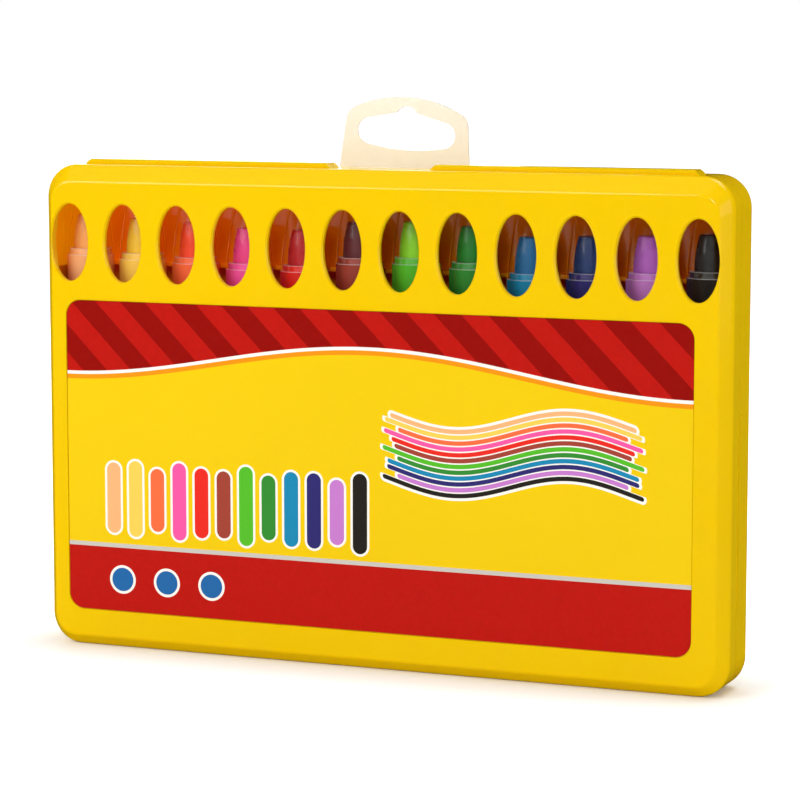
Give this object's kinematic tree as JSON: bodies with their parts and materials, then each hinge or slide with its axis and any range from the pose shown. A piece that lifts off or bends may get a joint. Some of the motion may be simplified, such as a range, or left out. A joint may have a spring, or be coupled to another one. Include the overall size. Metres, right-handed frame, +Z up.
{
  "type": "twist crayon set in hinged case",
  "caption": "Flat hinged plastic case with a row of oval windows over capped twist-up wax crayons, a recessed front label and a peg tab on the back.",
  "frame": {"origin": "centre of the case's bottom face", "axes": "+Z up along the crayons, -Y is the windowed and labelled front, +X to the viewer's right"},
  "size_m": [0.217, 0.0239, 0.168],
  "materials": {
    "case_yellow": "glossy moulded polypropylene",
    "tab_film": "milky translucent film",
    "label_print": "printed and varnished",
    "clear_cap": "clear moulded polystyrene",
    "barrel_peach": "glossy moulded plastic",
    "wax_peach": "satin wax",
    "barrel_yellow_orange": "glossy moulded plastic",
    "wax_yellow_orange": "satin wax",
    "barrel_orange": "glossy moulded plastic",
    "wax_orange": "satin wax",
    "barrel_pink": "glossy moulded plastic",
    "wax_pink": "satin wax",
    "barrel_red": "glossy moulded plastic",
    "wax_red": "satin wax",
    "barrel_brown": "glossy moulded plastic",
    "wax_brown": "satin wax",
    "barrel_light_green": "glossy moulded plastic",
    "wax_light_green": "satin wax",
    "barrel_green": "glossy moulded plastic",
    "wax_green": "satin wax",
    "barrel_light_blue": "glossy moulded plastic",
    "wax_light_blue": "satin wax",
    "barrel_navy": "glossy moulded plastic",
    "wax_navy": "satin wax",
    "barrel_violet": "glossy moulded plastic",
    "wax_violet": "satin wax",
    "barrel_black": "glossy moulded plastic",
    "wax_black": "satin wax"
  },
  "bodies": {
    "base": {"case_base": "case_yellow", "hinge_film_left": "case_yellow", "hinge_film_right": "case_yellow", "hang_tab": "tab_film", "barrel_01": "barrel_peach", "barrel_02": "barrel_yellow_orange", "barrel_03": "barrel_orange", "barrel_04": "barrel_pink", "barrel_05": "barrel_red", "barrel_06": "barrel_brown", "barrel_07": "barrel_light_green", "barrel_08": "barrel_green", "barrel_09": "barrel_light_blue", "barrel_10": "barrel_navy", "barrel_11": "barrel_violet", "barrel_12": "barrel_black"},
    "lid": {"case_lid": "case_yellow", "front_label": "label_print"},
    "knob_01": {"knob_01": "barrel_peach"},
    "lead_01": {"lead_01": "wax_peach"},
    "cap_01": {"cap_01": "clear_cap"},
    "knob_02": {"knob_02": "barrel_yellow_orange"},
    "lead_02": {"lead_02": "wax_yellow_orange"},
    "cap_02": {"cap_02": "clear_cap"},
    "knob_03": {"knob_03": "barrel_orange"},
    "lead_03": {"lead_03": "wax_orange"},
    "cap_03": {"cap_03": "clear_cap"},
    "knob_04": {"knob_04": "barrel_pink"},
    "lead_04": {"lead_04": "wax_pink"},
    "cap_04": {"cap_04": "clear_cap"},
    "knob_05": {"knob_05": "barrel_red"},
    "lead_05": {"lead_05": "wax_red"},
    "cap_05": {"cap_05": "clear_cap"},
    "knob_06": {"knob_06": "barrel_brown"},
    "lead_06": {"lead_06": "wax_brown"},
    "cap_06": {"cap_06": "clear_cap"},
    "knob_07": {"knob_07": "barrel_light_green"},
    "lead_07": {"lead_07": "wax_light_green"},
    "cap_07": {"cap_07": "clear_cap"},
    "knob_08": {"knob_08": "barrel_green"},
    "lead_08": {"lead_08": "wax_green"},
    "cap_08": {"cap_08": "clear_cap"},
    "knob_09": {"knob_09": "barrel_light_blue"},
    "lead_09": {"lead_09": "wax_light_blue"},
    "cap_09": {"cap_09": "clear_cap"},
    "knob_10": {"knob_10": "barrel_navy"},
    "lead_10": {"lead_10": "wax_navy"},
    "cap_10": {"cap_10": "clear_cap"},
    "knob_11": {"knob_11": "barrel_violet"},
    "lead_11": {"lead_11": "wax_violet"},
    "cap_11": {"cap_11": "clear_cap"},
    "knob_12": {"knob_12": "barrel_black"},
    "lead_12": {"lead_12": "wax_black"},
    "cap_12": {"cap_12": "clear_cap"}
  },
  "joints": [
    {"name": "lid_hinge", "type": "hinge", "parent": "base", "child": "lid", "pos_m": [0, -0.00125, 0.149], "axis": [-1, 0, 0], "range_deg": [0, 180]},
    {"name": "knob_twist_01", "type": "hinge", "parent": "base", "child": "knob_01", "pos_m": [-0.099, 0.0018, 0.0215], "axis": [0, 0, 1], "range_deg": [-757, 361]},
    {"name": "lead_feed_01", "type": "slide", "parent": "base", "child": "lead_01", "axis": [0, 0, 1], "range_m": [-0.0105, 0.005]},
    {"name": "cap_pull_01", "type": "slide", "parent": "base", "child": "cap_01", "axis": [0, 0, 1], "range_m": [0, 0.0037]},
    {"name": "knob_twist_02", "type": "hinge", "parent": "base", "child": "knob_02", "pos_m": [-0.081, 0.0018, 0.0205], "axis": [0, 0, 1], "range_deg": [-757, 361]},
    {"name": "lead_feed_02", "type": "slide", "parent": "base", "child": "lead_02", "axis": [0, 0, 1], "range_m": [-0.0105, 0.005]},
    {"name": "cap_pull_02", "type": "slide", "parent": "base", "child": "cap_02", "axis": [0, 0, 1], "range_m": [0, 0.0047]},
    {"name": "knob_twist_03", "type": "hinge", "parent": "base", "child": "knob_03", "pos_m": [-0.063, 0.0018, 0.0198], "axis": [0, 0, 1], "range_deg": [-757, 361]},
    {"name": "lead_feed_03", "type": "slide", "parent": "base", "child": "lead_03", "axis": [0, 0, 1], "range_m": [-0.0105, 0.005]},
    {"name": "cap_pull_03", "type": "slide", "parent": "base", "child": "cap_03", "axis": [0, 0, 1], "range_m": [0, 0.0054]},
    {"name": "knob_twist_04", "type": "hinge", "parent": "base", "child": "knob_04", "pos_m": [-0.045, 0.0018, 0.0185], "axis": [0, 0, 1], "range_deg": [-757, 361]},
    {"name": "lead_feed_04", "type": "slide", "parent": "base", "child": "lead_04", "axis": [0, 0, 1], "range_m": [-0.0105, 0.005]},
    {"name": "cap_pull_04", "type": "slide", "parent": "base", "child": "cap_04", "axis": [0, 0, 1], "range_m": [0, 0.0067]},
    {"name": "knob_twist_05", "type": "hinge", "parent": "base", "child": "knob_05", "pos_m": [-0.027, 0.0018, 0.0184], "axis": [0, 0, 1], "range_deg": [-757, 361]},
    {"name": "lead_feed_05", "type": "slide", "parent": "base", "child": "lead_05", "axis": [0, 0, 1], "range_m": [-0.0105, 0.005]},
    {"name": "cap_pull_05", "type": "slide", "parent": "base", "child": "cap_05", "axis": [0, 0, 1], "range_m": [0, 0.0068]},
    {"name": "knob_twist_06", "type": "hinge", "parent": "base", "child": "knob_06", "pos_m": [-0.009, 0.0018, 0.0212], "axis": [0, 0, 1], "range_deg": [-757, 361]},
    {"name": "lead_feed_06", "type": "slide", "parent": "base", "child": "lead_06", "axis": [0, 0, 1], "range_m": [-0.0105, 0.005]},
    {"name": "cap_pull_06", "type": "slide", "parent": "base", "child": "cap_06", "axis": [0, 0, 1], "range_m": [0, 0.004]},
    {"name": "knob_twist_07", "type": "hinge", "parent": "base", "child": "knob_07", "pos_m": [0.009, 0.0018, 0.0217], "axis": [0, 0, 1], "range_deg": [-757, 361]},
    {"name": "lead_feed_07", "type": "slide", "parent": "base", "child": "lead_07", "axis": [0, 0, 1], "range_m": [-0.0105, 0.005]},
    {"name": "cap_pull_07", "type": "slide", "parent": "base", "child": "cap_07", "axis": [0, 0, 1], "range_m": [0, 0.0035]},
    {"name": "knob_twist_08", "type": "hinge", "parent": "base", "child": "knob_08", "pos_m": [0.027, 0.0018, 0.0208], "axis": [0, 0, 1], "range_deg": [-757, 361]},
    {"name": "lead_feed_08", "type": "slide", "parent": "base", "child": "lead_08", "axis": [0, 0, 1], "range_m": [-0.0105, 0.005]},
    {"name": "cap_pull_08", "type": "slide", "parent": "base", "child": "cap_08", "axis": [0, 0, 1], "range_m": [0, 0.0044]},
    {"name": "knob_twist_09", "type": "hinge", "parent": "base", "child": "knob_09", "pos_m": [0.045, 0.0018, 0.0182], "axis": [0, 0, 1], "range_deg": [-757, 361]},
    {"name": "lead_feed_09", "type": "slide", "parent": "base", "child": "lead_09", "axis": [0, 0, 1], "range_m": [-0.0105, 0.005]},
    {"name": "cap_pull_09", "type": "slide", "parent": "base", "child": "cap_09", "axis": [0, 0, 1], "range_m": [0, 0.007]},
    {"name": "knob_twist_10", "type": "hinge", "parent": "base", "child": "knob_10", "pos_m": [0.063, 0.0018, 0.0188], "axis": [0, 0, 1], "range_deg": [-757, 361]},
    {"name": "lead_feed_10", "type": "slide", "parent": "base", "child": "lead_10", "axis": [0, 0, 1], "range_m": [-0.0105, 0.005]},
    {"name": "cap_pull_10", "type": "slide", "parent": "base", "child": "cap_10", "axis": [0, 0, 1], "range_m": [0, 0.0064]},
    {"name": "knob_twist_11", "type": "hinge", "parent": "base", "child": "knob_11", "pos_m": [0.081, 0.0018, 0.0194], "axis": [0, 0, 1], "range_deg": [-757, 361]},
    {"name": "lead_feed_11", "type": "slide", "parent": "base", "child": "lead_11", "axis": [0, 0, 1], "range_m": [-0.0105, 0.005]},
    {"name": "cap_pull_11", "type": "slide", "parent": "base", "child": "cap_11", "axis": [0, 0, 1], "range_m": [0, 0.0058]},
    {"name": "knob_twist_12", "type": "hinge", "parent": "base", "child": "knob_12", "pos_m": [0.099, 0.0018, 0.0203], "axis": [0, 0, 1], "range_deg": [-757, 361]},
    {"name": "lead_feed_12", "type": "slide", "parent": "base", "child": "lead_12", "axis": [0, 0, 1], "range_m": [-0.0105, 0.005]},
    {"name": "cap_pull_12", "type": "slide", "parent": "base", "child": "cap_12", "axis": [0, 0, 1], "range_m": [0, 0.0049]}
  ],
  "couplings": [
    {"joint": "knob_twist_01", "follows": "lead_feed_01", "rad_per_m": 1256.6},
    {"joint": "knob_twist_02", "follows": "lead_feed_02", "rad_per_m": 1256.6},
    {"joint": "knob_twist_03", "follows": "lead_feed_03", "rad_per_m": 1256.6},
    {"joint": "knob_twist_04", "follows": "lead_feed_04", "rad_per_m": 1256.6},
    {"joint": "knob_twist_05", "follows": "lead_feed_05", "rad_per_m": 1256.6},
    {"joint": "knob_twist_06", "follows": "lead_feed_06", "rad_per_m": 1256.6},
    {"joint": "knob_twist_07", "follows": "lead_feed_07", "rad_per_m": 1256.6},
    {"joint": "knob_twist_08", "follows": "lead_feed_08", "rad_per_m": 1256.6},
    {"joint": "knob_twist_09", "follows": "lead_feed_09", "rad_per_m": 1256.6},
    {"joint": "knob_twist_10", "follows": "lead_feed_10", "rad_per_m": 1256.6},
    {"joint": "knob_twist_11", "follows": "lead_feed_11", "rad_per_m": 1256.6},
    {"joint": "knob_twist_12", "follows": "lead_feed_12", "rad_per_m": 1256.6}
  ]
}
